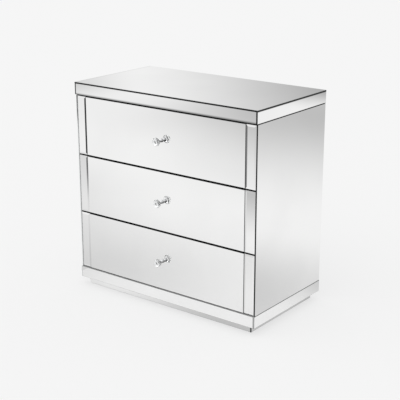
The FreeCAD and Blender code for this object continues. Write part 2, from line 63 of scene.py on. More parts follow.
FACING_FRONT = (0, 1, 0)
FACING_SIDE = (1, 0, 0)
FACING_UP = (0, 0, 1)
FACING_ROUND = (1, 1, 0)
LOOKING_FRONT = Matrix.Rotation(math.radians(90), 4, "X")
LOOKING_BACK = Matrix.Rotation(math.radians(-90), 4, "X")

# Cosines of a surface's lean: above FLAT it is a plate's plain face, down to SLOPED a bevel, down to
# GROUND the ground arris, and below that the cut edge.
FLAT, SLOPED, GROUND = 0.99, 0.85, 0.6
# A surface looks forward where its lean in Y is below the first, and inward where its lean in X
# times its place in X is below the second.
FORWARD, INWARD = -0.5, -0.01
# Painted shade on the end strips, from the bottom drawer to the top one: how far each head is dimmed and
# how dark each inner bevel is; and the gaps between the drawers.
LEFT_HEADS, RIGHT_HEADS = (0.0, 0.2, 0.06), (0.1, 0.4, 0.06)
LEFT_BEVELS, RIGHT_BEVELS = (0.0, 0.85, 1.0), (0.0, 0.0, 1.0)
STRIPS = [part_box(f"{drawer}_drawer_mirror_strips") for drawer in DRAWERS]
GAPS = [(under[1].z + over[0].z) / 2 for under, over in zip(STRIPS, STRIPS[1:])]
# Shares of a strip's height between which painted shade dims its head and darkens its bevels.
HEAD_FADE, BEVEL_FADE = (0.15, 1.05), (0.1, 0.85)
# Heights between which the painted light on the left edge of the glass turns to painted shade under the
# overhang of the top.
SHADE_START, SHADE_END = 0.64, 0.72
# Half of the width over which painted shade dims the plinth, and where its cut edge shows at the right.
PLINTH_FADE = 0.3
PLINTH_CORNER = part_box("plinth_boards")[1].x + 0.1 * MM
# Points on a rounded corner of a turned shape, and the angle from which a corner stays sharp.
EASE_STEPS = 4
SHARP = math.radians(35)

FLOOR_REACH = 60
LAMP_SPREAD, LAMP_TILT, LAMP_TURN = math.radians(60), math.radians(28), math.radians(-30)
FILM_WIDTH = 36
CAMERA_PLACE = (2.286, -2.962, 1.560)
CAMERA_LENS = 90.9
CAMERA_DOWN = 17.45
CAMERA_TURN = 37.37

# Soft grey patches of the studio that only glass and metal mirror, each (middle, reach, depth).
# The apron is the floor close round the chest; the floor beyond FAR_SIDE has a patch of its own.
APRON_SIDE, APRON_FRONT = 0.519, -0.342
FAR_SIDE = 2.29
APRON_PATCHES = (((0.47, 0.5, 0), 0.5, 0.34), ((-0.6, -0.3, 0), 0.5, 0.14))
FLOOR_PATCHES = (
    ((-1.3, -3.55, 0), 1.6, 0.5),
    ((-0.6, -2.5, 0), 1.2, 0.2),
    ((-3.7, -3.2, 0), 0.9, 0.35),
    ((-0.7, -0.1, 0), 1.15, 0.32),
    ((-1.5, -0.8, 0), 0.9, 0.16),
    ((2.0, 3.2, 0), 2.4, 0.42),
    ((0.8, 0.05, 0), 0.85, 0.3),
    ((-2.2, 3.0, 0), 2.4, 0.45),
    ((-6.2, 0, 0), 3.4, 0.26),
)
FAR_PATCHES = (((2.5, 4.0, 0), 0.9, 0.6),)
# The same for the backdrop, in directions instead of places; a depth below zero is brighter.
SKY_PATCHES = (
    ((-0.42, 0.9, 0.1), 0.31, 0.85),
    ((-0.7, 0.69, 0.19), 0.085, 0.26),
    ((-0.26, -0.81, 0.53), 0.6, -1.0),
    ((0.56, 0.76, 0.3), 0.4, 0.3),
    ((0.25, 0.45, 0.86), 0.45, 0.3),
)


# ---- kinds of setting

def colour(name, description, default):
    """Setting for a colour."""
    return FloatVectorProperty(name=name, description=description, default=default,
                               subtype="COLOR", size=3, min=0, max=1)


def share(name, description, default):
    """Setting between 0 and 1."""
    return FloatProperty(name=name, description=description, default=default,
                         subtype="FACTOR", min=0, max=1)


def length(name, description, default):
    """Setting for a length in metres."""
    return FloatProperty(name=name, description=description, default=default,
                         subtype="DISTANCE", unit="LENGTH", min=0, precision=5)


def power(name, description, default):
    """Setting for the strength of an effect or a light."""
    return FloatProperty(name=name, description=description, default=default, min=0, max=5)


# ---- what a user may change

class GlassLook(PropertyGroup):
    """Mirror glass"""

    silver: colour("Silver", "Clean silvering seen through the glass", (0.96, 0.96, 0.957))
    dull: colour("Dulled silver", "Silvering where it has lost a little brightness", (0.925, 0.925, 0.923))
    edge: colour("Edge", "Cut edge of the glass over dark boards", (0.012, 0.013, 0.013))
    # Painted light: a paler copy of the cut edge, for light that comes through the glass.
    pale_edge: colour("Pale edge", "Cut edge of the glass where light comes through", (0.46, 0.465, 0.465))
    # Painted light on the left cut edge, where the left side is brighter; left_shade paints shade over it
    # under the top.
    left_edge: colour("Left edge", "Cut edge of the glass on the brighter left side", (0.85, 0.86, 0.86))
    arris: colour("Arris", "Ground corner between face and edge", (0.05, 0.052, 0.052))
    # Painted shade: the inner bevels of the end strips, dark on the upper drawers and pale grey on the
    # lower ones.
    slope: colour("Bevel", "Bevel beside a joint, where the dark edge shows through", (0.22, 0.22, 0.222))
    low_slope: colour("Low bevel", "The same bevel on the lower drawers", (0.8, 0.8, 0.8))
    backing: colour("Backing", "Paint on the back of the silver", (0.6, 0.61, 0.61))
    left_shade: share("Left shade", "How far the left edge darkens under the top", 0.8)
    # Painted shade: a grey band along the lower edge of the front of the top, over the dark gap above the
    # drawers.
    tarnish: length("Tarnish", "Reach of the tarnish along the lower edge of the top", 9 * MM)
    tarnish_depth: share("Tarnish depth", "How far that tarnish dims the silver", 0.75)
    # Painted shade: dark rims along the edges of the top's front and sides and along the lower edge of the
    # base.
    rim: length("Rim", "Dark rim of the silver round the edges of the top", 2.6 * MM)
    low_rim: length("Low rim", "Dark rim along the lower edge of the base", 1.3 * MM)
    faint_rim: share("Faint rim", "Darkness of the lower rim on the sides of the top", 0.6)
    # Painted shade: the silver of the top dimmed along its left edge.
    dim_edge: length("Dim edge", "Reach of the dim silver along the left edge of the top", 16 * MM)
    dim_depth: share("Dim depth", "How far that edge is dimmed", 0.22)
    # Painted shade on the plinth, growing towards its right end.
    plinth_dim: share("Plinth dimming", "How far the plinth is dimmed at its right end", 0.35)
    polish: share("Polish", "Roughness of clean glass", 0.012)
    waviness: power("Waviness", "Strength of the glass's slow waves", 0.35)


class BoardLook(PropertyGroup):
    """Boards of the carcass and the drawers"""

    lacquer: colour("Lacquer", "Lacquer on the carcass boards", (0.016, 0.016, 0.018))
    worn: colour("Worn lacquer", "Lacquer rubbed pale at marks", (0.07, 0.07, 0.072))
    foil: colour("Foil", "Foil on the drawer box boards", (0.085, 0.085, 0.09))
    foil_grain: colour("Foil grain", "Pores printed in the foil", (0.04, 0.04, 0.043))
    foil_worn: colour("Worn foil", "Foil rubbed pale at marks", (0.17, 0.17, 0.175))
    flock: colour("Flock", "Flock on the drawer bottoms", (0.022, 0.022, 0.026))
    back: colour("Back panel", "Painted back panel", (0.035, 0.035, 0.037))
    lacquer_dust: colour("Dust on lacquer", "Dust settled on the lacquer", (0.3, 0.3, 0.3))
    foil_dust: colour("Dust on foil", "Dust settled on the foil", (0.35, 0.35, 0.35))
    back_dust: colour("Dust on the back", "Dust settled on the back panel", (0.4, 0.39, 0.38))
    pin: colour("Pins", "Pins of the back panel", (0.5, 0.5, 0.5))
    pin_dull: colour("Dulled pins", "Pins between their bright grains", (0.3, 0.3, 0.31))


class RunnerLook(PropertyGroup):
    """Ball runners"""

    zinc: colour("Zinc", "Zinc plate on the runner members", (0.62, 0.64, 0.66))
    zinc_dull: colour("Dulled zinc", "Zinc plate between its bright grains", (0.47, 0.48, 0.5))
    cage: colour("Cage", "Sheet steel of the ball cages", (0.4, 0.4, 0.41))
    steel: colour("Balls", "Hardened steel of the balls", (0.7, 0.7, 0.71))
    ball_diameter: length("Ball", "Diameter of a bearing ball", 3.5 * MM)
    windows: IntProperty(name="Balls in a row", description="Balls in each row of a cage",
                         default=6, min=2, max=40)
    end: length("End", "First ball from the end of a cage", 8 * MM)
    outer_row: length("Outer row", "Ball row from the web of an outer cage", 4.85 * MM)
    inner_row: length("Inner row", "Ball row from the web of an inner cage", 3.55 * MM)
    cage_sheet: length("Cage sheet", "Thickness of a cage", 0.5 * MM)


class KnobLook(PropertyGroup):
    """Crystal knobs"""

    chrome: colour("Chrome", "Plated base of a knob", (0.62, 0.625, 0.635))
    # Painted shade: the plating on the under side of the base.
    shaded: colour("Shaded chrome", "Plating on the under side of the base", (0.02, 0.02, 0.021))
    foil: colour("Foil", "Silver foil behind the crystal", (0.93, 0.93, 0.93))
    # Real enamel and rubber, whose black also stands in for shade in the collar's groove and under the
    # foot.
    black: colour("Black", "Enamel in the collar and rubber under the foot", (0.01, 0.01, 0.01))
    black_worn: colour("Worn black", "The same where it is rubbed", (0.12, 0.12, 0.12))
    crystal: colour("Crystal", "Cut glass head of a knob", (0.97, 0.98, 0.985))
    screw: colour("Screw", "Zinc plate on the screw of a knob", (0.6, 0.6, 0.58))
    screw_dull: colour("Dulled screw", "That plate between its bright grains", (0.44, 0.44, 0.43))
    foot_diameter: length("Foot", "Foot of the base", 15 * MM)
    foot_thickness: length("Foot thickness", "Foot with the washer under it", 2.4 * MM)
    stem_diameter: length("Stem", "Stem of the base", 12 * MM)
    collar_diameter: length("Collar", "Collar that holds the crystal", 16 * MM)
    collar_thickness: length("Collar thickness", "Rim of the collar", 3.5 * MM)
    base_length: length("Base", "Length of the base from the glass to the crystal", 20 * MM)
    washer: length("Washer", "Thickness of the rubber washer under the foot", 1.0 * MM)
    screw_diameter: length("Screw shank", "Shank of the screw that holds a knob", 4 * MM)
    screw_head: length("Screw head", "Height of the head of that screw", 2.4 * MM)
    groove_lift: length("Groove place", "Groove in the collar behind the crystal", 1.4 * MM)
    groove_width: length("Groove width", "Width of the groove in the collar", 1.1 * MM)


class StageLook(PropertyGroup):
    """Floor, light and what the glass mirrors"""

    floor: colour("Floor", "Pale floor and background", (0.922, 0.922, 0.922))
    sky: power("Sky", "Strength of the even light from all round", 0.93)
    key: power("Key", "Strength of the broad lamp", 0.25)
    lift: share("Lift", "Share of the floor's own glow that eases the shadow", 0.75)
    mirrored_lift: share("Mirrored lift", "The same share as the glass mirrors it", 0.8)


LOOKS = {"glass": GlassLook, "boards": BoardLook, "runners": RunnerLook, "knobs": KnobLook,
         "stage": StageLook}


class ChestLook(PropertyGroup):
    """All that a user may change"""

    __annotations__ = {name: PointerProperty(type=kind, name=name.title(), description=kind.__doc__)
                       for name, kind in LOOKS.items()}


# ---- node trees

def put(tree, kind, inputs=None, **settings):
    """Add a node; inputs maps its sockets to values or to the sockets that feed them."""
    node = tree.nodes.new(kind)
    for name, value in settings.items():
        setattr(node, name, value)
    for name, value in (inputs or {}).items():
        if isinstance(value, NodeSocket):
            tree.links.new(value, node.inputs[name])
        else:
            node.inputs[name].default_value = value
    return node


def calc(tree, operation, *values):
    """Result of a Math node on numbers or sockets."""
    return put(tree, "ShaderNodeMath", dict(enumerate(values)), operation=operation).outputs[0]


def vector_calc(tree, operation, *values):
    """Outputs of a Vector Math node on vectors or sockets."""
    return put(tree, "ShaderNodeVectorMath", dict(enumerate(values)), operation=operation).outputs


def remap(tree, value, start, end, low=0.0, high=1.0):
    """Smooth step of a value from low at start to high at end."""
    return put(tree, "ShaderNodeMapRange",
               {"Value": value, "From Min": start, "From Max": end, "To Min": low, "To Max": high},
               interpolation_type="SMOOTHSTEP").outputs["Result"]


def rgba(value):
    """A colour as a socket takes it; a socket stays as it is."""
    return value if isinstance(value, NodeSocket) else (*value, 1)


def toned(plain, factor):
    """A colour with its three parts scaled."""
    return tuple(factor * part for part in plain)


def blend(tree, factor, low, high):
    """Colour that runs from low to high as the factor runs from 0 to 1."""
    return put(tree, "ShaderNodeMix", {0: factor, 6: rgba(low), 7: rgba(high)},
               data_type="RGBA").outputs[2]


def veil(tree, under, over, mark, thickness=1.0):
    """One colour laid over another where a mark is."""
    return blend(tree, calc(tree, "MULTIPLY", mark, thickness), under, over)


def pick(tree, test, no, yes):
    """Value where a test is 0 and where it is 1."""
    return put(tree, "ShaderNodeMix", {0: test, 2: no, 3: yes}).outputs[0]


def split(tree, vector):
    """X, Y and Z of a vector."""
    return put(tree, "ShaderNodeSeparateXYZ", {0: vector}).outputs


def noise(tree, vector, scale, detail, stretch=(1, 1, 1)):
    """Noise with a scale in features per metre, drawn out along an axis by a small stretch."""
    drawn = vector_calc(tree, "MULTIPLY", vector, stretch)[0]
    return put(tree, "ShaderNodeTexNoise",
               {"Vector": drawn, "Scale": scale, "Detail": detail}).outputs[0]


def flecks(tree, vector, scale, detail, fade, stretch=(1, 1, 1)):
    """Noise that fades in between two of its levels."""
    return remap(tree, noise(tree, vector, scale, detail, stretch), *fade)


def new_socket(group, label, side, vector):
    """Socket of a group, for a vector or a number."""
    kind = "NodeSocketVector" if vector else "NodeSocketFloat"
    return group.interface.new_socket(label, in_out=side, socket_type=kind)


def new_group(name, **inputs):
    """Shader node group with inputs and their defaults; returns it with the sockets to read."""
    group = bpy.data.node_groups.new(name, "ShaderNodeTree")
    for label, default in inputs.items():
        new_socket(group, label, "INPUT", isinstance(default, tuple)).default_value = default
    return group, put(group, "NodeGroupInput").outputs


def give(group, **values):
    """Add an output to a group for each value, join them and return the group."""
    for label, value in values.items():
        new_socket(group, label, "OUTPUT", value.type == "VECTOR")
    put(group, "NodeGroupOutput", values)
    return group


def plate_zones():
    """A plate's face told from the ground arris and the cut edge by the way the surface looks.

    Silver behind a bevel mirrors through a wedge of glass, so the bevel turns the image by less
    than its own slope; the group's normal leans by that smaller share.
    """
    group, given = new_group("plate_zones", Normal=(0, 0, 1), Facing=(0, 0, 1), Wedge=0.52)
    along = vector_calc(group, "MULTIPLY", given["Normal"], given["Facing"])[0]
    turned = vector_calc(group, "LENGTH", along)["Value"]
    face = calc(group, "GREATER_THAN", turned, SLOPED)
    ground = calc(group, "GREATER_THAN", turned, GROUND)
    square = vector_calc(group, "NORMALIZE", along)[0]
    lean = put(group, "ShaderNodeMix", {"Factor": given["Wedge"], 4: square, 5: given["Normal"]},
               data_type="VECTOR").outputs[1]
    return give(group, Face=face, Bevel=calc(group, "LESS_THAN", turned, FLAT),
                Arris=calc(group, "SUBTRACT", ground, face),
                Normal=vector_calc(group, "NORMALIZE", lean)[0])


def hand_marks():
    """Wiping streaks, finger smears and settled dust."""
    group, given = new_group("hand_marks", Vector=(0, 0, 0), Streaks=0.5, Dust=0.3)
    where = given["Vector"]
    streak = flecks(group, where, scale=14, detail=3, fade=(0.45, 0.75), stretch=(0.35, 1, 1.3))
    finger = flecks(group, where, scale=38, detail=4, fade=(0.4, 0.7))
    smear = calc(group, "MULTIPLY", streak, finger)
    speck = flecks(group, where, scale=900, detail=2, fade=(0.66, 0.74))
    cover = flecks(group, where, scale=6, detail=2, fade=(0.4, 0.7))
    settled = calc(group, "MULTIPLY", speck, cover)
    return give(group, Smear=calc(group, "MULTIPLY", smear, given["Streaks"]),
                Dust=calc(group, "MULTIPLY", settled, given["Dust"]))


def board_skin():
    """Fine orange peel, pressed pores along the board and rubbed patches."""
    group, given = new_group("board_skin", Vector=(0, 0, 0), Pores=0.0, Peel=0.5)
    where = given["Vector"]
    peel = noise(group, where, scale=420, detail=2)
    pore = flecks(group, where, scale=800, detail=3, fade=(0.52, 0.66), stretch=(0.04, 1, 1))
    pressed = calc(group, "MULTIPLY", pore, given["Pores"])
    patch = flecks(group, where, scale=11, detail=5, fade=(0.5, 0.8))
    scuff = flecks(group, where, scale=160, detail=3, fade=(0.35, 0.75))
    rub = calc(group, "MULTIPLY", patch, scuff)
    height = calc(group, "SUBTRACT", calc(group, "MULTIPLY", peel, given["Peel"]), pressed)
    return give(group, Rub=rub, Pore=pressed, Height=height)


def rolled_steel():
    """Grains of plating and the fine lines that rolling leaves along a strip of steel."""
    group, given = new_group("rolled_steel", Vector=(0, 0, 0), Grain=260.0)
    cells = put(group, "ShaderNodeTexVoronoi", {"Vector": given["Vector"], "Scale": given["Grain"]})
    tone = put(group, "ShaderNodeSeparateColor", {0: cells.outputs["Color"]}).outputs[0]
    lines = noise(group, given["Vector"], scale=2400, detail=2, stretch=(1, 0.006, 1))
    height = calc(group, "MULTIPLY_ADD", tone, 0.2, lines)
    return give(group, Grain=tone, Lines=lines, Height=height)


def ray_kinds(tree):
    """Whether the camera sees a surface, and whether metal or glass mirrors it."""
    path = put(tree, "ShaderNodeLightPath").outputs
    return path["Is Camera Ray"], calc(tree, "MAXIMUM", path["Is Glossy Ray"],
                                       path["Is Transmission Ray"])


def soft_patches(tree, where, plain, patches):
    """A plain colour dimmed or lit round a few places, fading out over each patch's reach."""
    tone = 1.0
    for middle, reach, depth in patches:
        away = vector_calc(tree, "DISTANCE", where, middle)["Value"]
        dimmed = remap(tree, away, 0, reach, 1 - depth, 1)
        tone = calc(tree, "MULTIPLY", tone, dimmed)
    return put(tree, "ShaderNodeVectorMath", {0: tuple(plain), "Scale": tone},
               operation="SCALE").outputs[0]


def use(tree, build, **inputs):
    """Place a group that materials share, built when first asked for; returns its outputs."""
    group = bpy.data.node_groups.get(build.__name__) or build()
    return put(tree, "ShaderNodeGroup", inputs, node_tree=group).outputs


def new_material(name):
    """Material with a Principled shader; returns it with its tree, shader and object coordinates."""
    material = bpy.data.materials.new(name)
    material.use_nodes = True
    tree = material.node_tree
    where = put(tree, "ShaderNodeTexCoord").outputs["Object"]
    return material, tree, tree.nodes["Principled BSDF"].inputs, where


def bump(tree, shader, height, distance, strength=1.0, normal=None):
    """Relief on a shader's normal, or on top of a normal that is given."""
    relief = put(tree, "ShaderNodeBump",
                 {"Height": height, "Distance": distance, "Strength": strength})
    if normal is not None:
        tree.links.new(normal, relief.inputs["Normal"])
    tree.links.new(relief.outputs["Normal"], shader["Normal"])


def roughen(tree, shader, plain, *marks):
    """Roughness of a finish: its plain value, raised by a share of each (mark, share)."""
    total = plain
    for mark, part in marks:
        total = calc(tree, "MULTIPLY_ADD", mark, part, total)
    tree.links.new(total, shader["Roughness"])


# ---- glass

# A plate as its tones need it: the material's tree, the zones, and where it lies and looks.
Surface = namedtuple("Surface", "tree zones place lean")


def mirror_finish(name, facing, look, edge=None, left_edge=None, tone=None):
    """Silvered glass with a cut edge, a ground arris, faint smears and slow waves.

    edge and left_edge colour the cut edge on the right and left half of the chest.  Side glass shows
    its backing paint on the inside.  tone is a function that paints shade into a plate's silver.
    """
    material, tree, shader, where = new_material(name)
    normal = put(tree, "ShaderNodeNewGeometry").outputs["True Normal"]
    zones = use(tree, plate_zones, Normal=normal, Facing=facing)
    marks = use(tree, hand_marks, Vector=where, Streaks=1.0, Dust=0.5)
    surface = Surface(tree, zones, split(tree, where), split(tree, normal))
    cloud = flecks(tree, where, scale=2.6, detail=3, fade=(0.35, 0.65))
    silver = blend(tree, cloud, look.silver, look.dull)
    if tone is not None:
        silver = tone(surface, silver, look)
    metal = calc(tree, "MAXIMUM", zones["Face"], zones["Arris"])
    if facing == FACING_SIDE:
        painted = calc(tree, "MULTIPLY", turned_inward(surface), zones["Face"])
        silver = blend(tree, painted, silver, look.backing)
        metal = calc(tree, "SUBTRACT", metal, painted)
    cut = edge_colour(surface, look, edge or look.edge, left_edge)
    rim = blend(tree, zones["Arris"], cut, look.arris)
    tree.links.new(blend(tree, zones["Face"], rim, silver), shader["Base Color"])
    tree.links.new(metal, shader["Metallic"])
    ground_matt = 0.16
    roughen(tree, shader, look.polish + ground_matt, (zones["Face"], -ground_matt),
            (marks["Dust"], 0.12), (marks["Smear"], 0.035))
    waves = noise(tree, where, scale=3.2, detail=1)
    bump(tree, shader, waves, 0.5 * MM, look.waviness, zones["Normal"])
    shader["Specular IOR Level"].default_value = 0.15
    return material


def turned_inward(surface):
    """Where a plate leans towards the middle of the chest."""
    sideways = calc(surface.tree, "MULTIPLY", surface.place["X"], surface.lean["X"])
    return calc(surface.tree, "LESS_THAN", sideways, INWARD)


def on_left(surface):
    """The left half of the chest."""
    return calc(surface.tree, "LESS_THAN", surface.place["X"], 0)


def edge_colour(surface, look, edge, left_edge):
    """Cut edge of a plate; a left one is painted light, and turns to painted shade under the overhang of
    the top.
    """
    if left_edge is None:
        return edge
    shaded = remap(surface.tree, surface.place["Z"], SHADE_START, SHADE_END, 0, look.left_shade)
    left = blend(surface.tree, shaded, left_edge, look.edge)
    return blend(surface.tree, on_left(surface), edge, left)


def by_strip(surface, left, right):
    """Value of an end strip out of three on each side, from the bottom drawer to the top one."""
    tree, height = surface.tree, surface.place["Z"]
    over_bottom, over_middle = (calc(tree, "GREATER_THAN", height, gap) for gap in GAPS)
    sides = [pick(tree, over_middle, pick(tree, over_bottom, bottom, middle), top)
             for bottom, middle, top in (right, left)]
    return pick(tree, on_left(surface), *sides)


def darkened(surface, silver, *bands):
    """Silver dimmed by painted shade over bands, each (axis, start, end, dimming at the start, dimming at
    the end).
    """
    dim = 0.0
    for axis, *band in bands:
        dim = calc(surface.tree, "MAXIMUM", dim, remap(surface.tree, surface.place[axis], *band))
    return blend(surface.tree, dim, silver, BLACK)


def strip_tone(surface, silver, look):
    """Silver of the end strips with painted shade: dim towards the head of each front, and dark or pale
    grey in the inner bevels.
    """
    tree = surface.tree
    height = split(tree, put(tree, "ShaderNodeTexCoord").outputs["Generated"])["Z"]
    # Painted shade: the head of each strip dimmed, and its inner bevels painted dark.
    head = calc(tree, "MULTIPLY", remap(tree, height, *HEAD_FADE),
                by_strip(surface, LEFT_HEADS, RIGHT_HEADS))
    top_drawer = calc(tree, "GREATER_THAN", surface.place["Z"], GAPS[1])
    darkening = calc(tree, "MAXIMUM", top_drawer, remap(tree, height, *BEVEL_FADE))
    dark = calc(tree, "MULTIPLY", darkening, by_strip(surface, LEFT_BEVELS, RIGHT_BEVELS))
    slope = blend(tree, dark, look.low_slope, blend(tree, on_left(surface), look.slope, look.arris))
    bevel = calc(tree, "MULTIPLY", turned_inward(surface), surface.zones["Bevel"])
    return blend(tree, bevel, blend(tree, head, silver, BLACK), slope)


def plinth_tone(surface, silver, look):
    """Silver of the plinth, with painted shade that grows towards its right end, and the cut edge at that
    corner.
    """
    tree = surface.tree
    dimmed = darkened(surface, silver, ("X", -PLINTH_FADE, PLINTH_FADE, 0, look.plinth_dim))
    forward = calc(tree, "LESS_THAN", surface.lean["Y"], FORWARD)
    corner = calc(tree, "GREATER_THAN", surface.place["X"], PLINTH_CORNER)
    return veil(tree, dimmed, look.edge, forward, corner)


def top_tone(surface, silver, look):
    """Silver of the top, with painted shade a little dim along its left edge."""
    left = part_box("top_mirror")[0].x
    return darkened(surface, silver, ("X", left, left + look.dim_edge, look.dim_depth, 0))


def slab_tone(surface, silver, look):
    """Silver of the front of the top, with painted shade: grey along its lower edge over the gap, and dark
    at its left end.
    """
    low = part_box("top_edge_mirror_front")[0]
    return darkened(surface, silver, ("Z", low.z, low.z + look.tarnish, look.tarnish_depth, 0),
                    ("X", low.x, low.x + look.rim, 1, 0))


def slab_side_tone(surface, silver, look):
    """Silver of the sides of the top, with painted shade in a dark rim along both edges."""
    low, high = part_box("top_edge_mirrors_side")
    return darkened(surface, silver, ("Z", low.z, low.z + look.rim, look.faint_rim, 0),
                    ("Z", high.z - look.rim, high.z, 0, 1))


def base_side_tone(surface, silver, look):
    """Silver of the sides of the base, with painted shade in a dark rim along the lower edge, by the
    floor.
    """
    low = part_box("base_edge_mirrors_side")[0].z
    return darkened(surface, silver, ("Z", low, low + look.low_rim, 1, 0))


# ---- boards, metal and crystal

def lacquer_finish(look):
    """Dark lacquer with orange peel, rubbed patches and a little dust."""
    material, tree, shader, where = new_material("carcass_lacquer")
    skin = use(tree, board_skin, Vector=where, Pores=0.0, Peel=0.7)
    marks = use(tree, hand_marks, Vector=where, Streaks=1.0, Dust=1.0)
    rubbed = veil(tree, look.lacquer, look.worn, skin["Rub"], 0.45)
    tree.links.new(veil(tree, rubbed, look.lacquer_dust, marks["Dust"], 0.5), shader["Base Color"])
    roughen(tree, shader, 0.34, (marks["Smear"], 0.18))
    bump(tree, shader, skin["Height"], 0.06 * MM)
    return material


def foil_finish(look):
    """Printed foil with pressed pores, rubbed patches and dust."""
    material, tree, shader, where = new_material("drawer_foil")
    skin = use(tree, board_skin, Vector=where, Pores=1.0, Peel=0.2)
    marks = use(tree, hand_marks, Vector=where, Streaks=0.8, Dust=0.8)
    grain = blend(tree, skin["Pore"], look.foil, look.foil_grain)
    worn = veil(tree, grain, look.foil_worn, skin["Rub"], 0.35)
    tree.links.new(blend(tree, marks["Dust"], worn, look.foil_dust), shader["Base Color"])
    roughen(tree, shader, 0.42, (skin["Pore"], 0.2))
    bump(tree, shader, skin["Height"], 0.1 * MM)
    return material


def back_finish(look):
    """Thin paint over the pressed grain of the back panel."""
    material, tree, shader, where = new_material("back_paint")
    skin = use(tree, board_skin, Vector=where, Pores=0.25, Peel=1.0)
    marks = use(tree, hand_marks, Vector=where, Streaks=0.5, Dust=1.0)
    rubbed = veil(tree, look.back, look.worn, skin["Rub"], 0.5)
    tree.links.new(blend(tree, marks["Dust"], rubbed, look.back_dust), shader["Base Color"])
    roughen(tree, shader, 0.55, (skin["Rub"], 0.15))
    bump(tree, shader, skin["Height"], 0.12 * MM)
    return material


def flock_finish(look):
    """Short dense fibres that catch the light at a low angle."""
    material, tree, shader, where = new_material("drawer_flock")
    fibre = noise(tree, where, scale=3000, detail=2)
    nap = flecks(tree, where, scale=24, detail=3, fade=(0.35, 0.65))
    lit = toned(look.flock, 2.2)
    pile = blend(tree, fibre, look.flock, lit)
    tree.links.new(veil(tree, pile, lit, nap, 0.5), shader["Base Color"])
    roughen(tree, shader, 0.9, (nap, 0.08))
    shader["Sheen Weight"].default_value = 0.5
    shader["Sheen Roughness"].default_value = 0.35
    bump(tree, shader, calc(tree, "MULTIPLY_ADD", nap, 0.5, fibre), 0.4 * MM)
    return material


def steel_finish(name, bright, dull, roughness):
    """Plated or rolled steel with grains, fine lines and dulled smears."""
    material, tree, shader, where = new_material(name)
    rolled = use(tree, rolled_steel, Vector=where)
    marks = use(tree, hand_marks, Vector=where, Streaks=1.0, Dust=0.6)
    plate = blend(tree, rolled["Grain"], dull, bright)
    tree.links.new(veil(tree, plate, dull, marks["Smear"], 0.35), shader["Base Color"])
    shader["Metallic"].default_value = 1
    spread = 0.16
    roughen(tree, shader, roughness - spread / 2, (rolled["Lines"], spread), (marks["Smear"], 0.1))
    bump(tree, shader, rolled["Height"], 0.02 * MM)
    return material


def chrome_finish(look):
    """Bright plating with painted shade on the under side, and silver foil on the seat of the crystal."""
    material, tree, shader, where = new_material("knob_chrome")
    marks = use(tree, hand_marks, Vector=where, Streaks=1.0, Dust=0.4)
    lean = split(tree, put(tree, "ShaderNodeTexCoord").outputs["Normal"])
    buffed = noise(tree, where, scale=700, detail=2, stretch=(1, 1, 0.05))
    tone = blend(tree, buffed, look.chrome, toned(look.chrome, 0.9))
    # Painted shade: the plating darkens where the base faces down.
    shaded_below, bright_above, seat_above = -0.15, 0.3, 0.95
    under = blend(tree, remap(tree, lean["Y"], shaded_below, bright_above), look.shaded, tone)
    seat = calc(tree, "GREATER_THAN", lean["Z"], seat_above)
    tree.links.new(blend(tree, seat, under, look.foil), shader["Base Color"])
    shader["Metallic"].default_value = 1
    roughen(tree, shader, 0.05, (marks["Smear"], 0.08))
    bump(tree, shader, buffed, 0.002 * MM)
    return material


def black_finish(name, look, roughness):
    """Black rubber or enamel, rubbed a little grey."""
    material, tree, shader, where = new_material(name)
    worn = remap(tree, noise(tree, where, scale=900, detail=2), 0.5, 0.8, 0, 0.2)
    tree.links.new(blend(tree, worn, look.black, look.black_worn), shader["Base Color"])
    roughen(tree, shader, roughness, (worn, 1.5))
    return material


def crystal_finish(look):
    """Clear lead glass with a trace of handling on its facets."""
    material, tree, shader, where = new_material("knob_crystal")
    marks = use(tree, hand_marks, Vector=where, Streaks=1.0, Dust=0.2)
    cloud = noise(tree, where, scale=90, detail=2)
    tree.links.new(blend(tree, cloud, look.crystal, toned(look.crystal, 0.97)), shader["Base Color"])
    shader["Transmission Weight"].default_value = 1
    shader["IOR"].default_value = 1.55
    roughen(tree, shader, 0, (marks["Smear"], 0.03))
    return material


# ---- shapes

def add_object(name, data):
    """New object of a mesh, lamp or camera, put in the scene."""
    item = bpy.data.objects.new(name, data)
    bpy.context.scene.collection.objects.link(item)
    return item


def as_mesh(name, shape):
    """Mesh of a bmesh, which is freed."""
    mesh = bpy.data.meshes.new(name)
    shape.to_mesh(mesh)
    shape.free()
    return mesh


def new_piece(name, mesh, body, material, place=None):
    """Put a mesh in the scene as a piece that moves with a body of the chest."""
    piece = add_object(name, mesh)
    mesh.materials.clear()
    mesh.materials.append(material)
    if place is not None:
        piece.matrix_world = place
    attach(piece, body)
    return piece


def eased(corners):
    """Profile through (radius, height, ease) corners, each rounded over its ease."""
    line = []
    last = len(corners) - 1
    for index, (radius, height, ease) in enumerate(corners):
        here = Vector((radius, height))
        if ease == 0 or index in (0, last):
            line.append(here)
            continue
        before, after = (Vector(corners[index + step][:2]) - here for step in (-1, 1))
        start, end = here + before.normalized() * ease, here + after.normalized() * ease
        for step in range(EASE_STEPS + 1):
            part = step / EASE_STEPS
            line.append(start.lerp(here, part).lerp(here.lerp(end, part), part))
    return line


def lathe(name, profile, segments):
    """Turn a profile of (radius, height) points round Z into a closed smooth mesh."""
    shape = bmesh.new()
    points = [shape.verts.new((radius, 0, height)) for radius, height in profile]
    edges = [shape.edges.new(ends) for ends in zip(points, points[1:])]
    bmesh.ops.spin(shape, geom=points + edges, cent=(0, 0, 0), axis=(0, 0, 1), angle=2 * math.pi,
                   steps=segments)
    bmesh.ops.remove_doubles(shape, verts=shape.verts, dist=1e-6)
    bmesh.ops.recalc_face_normals(shape, faces=shape.faces)
    mesh = as_mesh(name, shape)
    mesh.shade_smooth()
    mesh.set_sharp_from_angle(angle=SHARP)
    return mesh


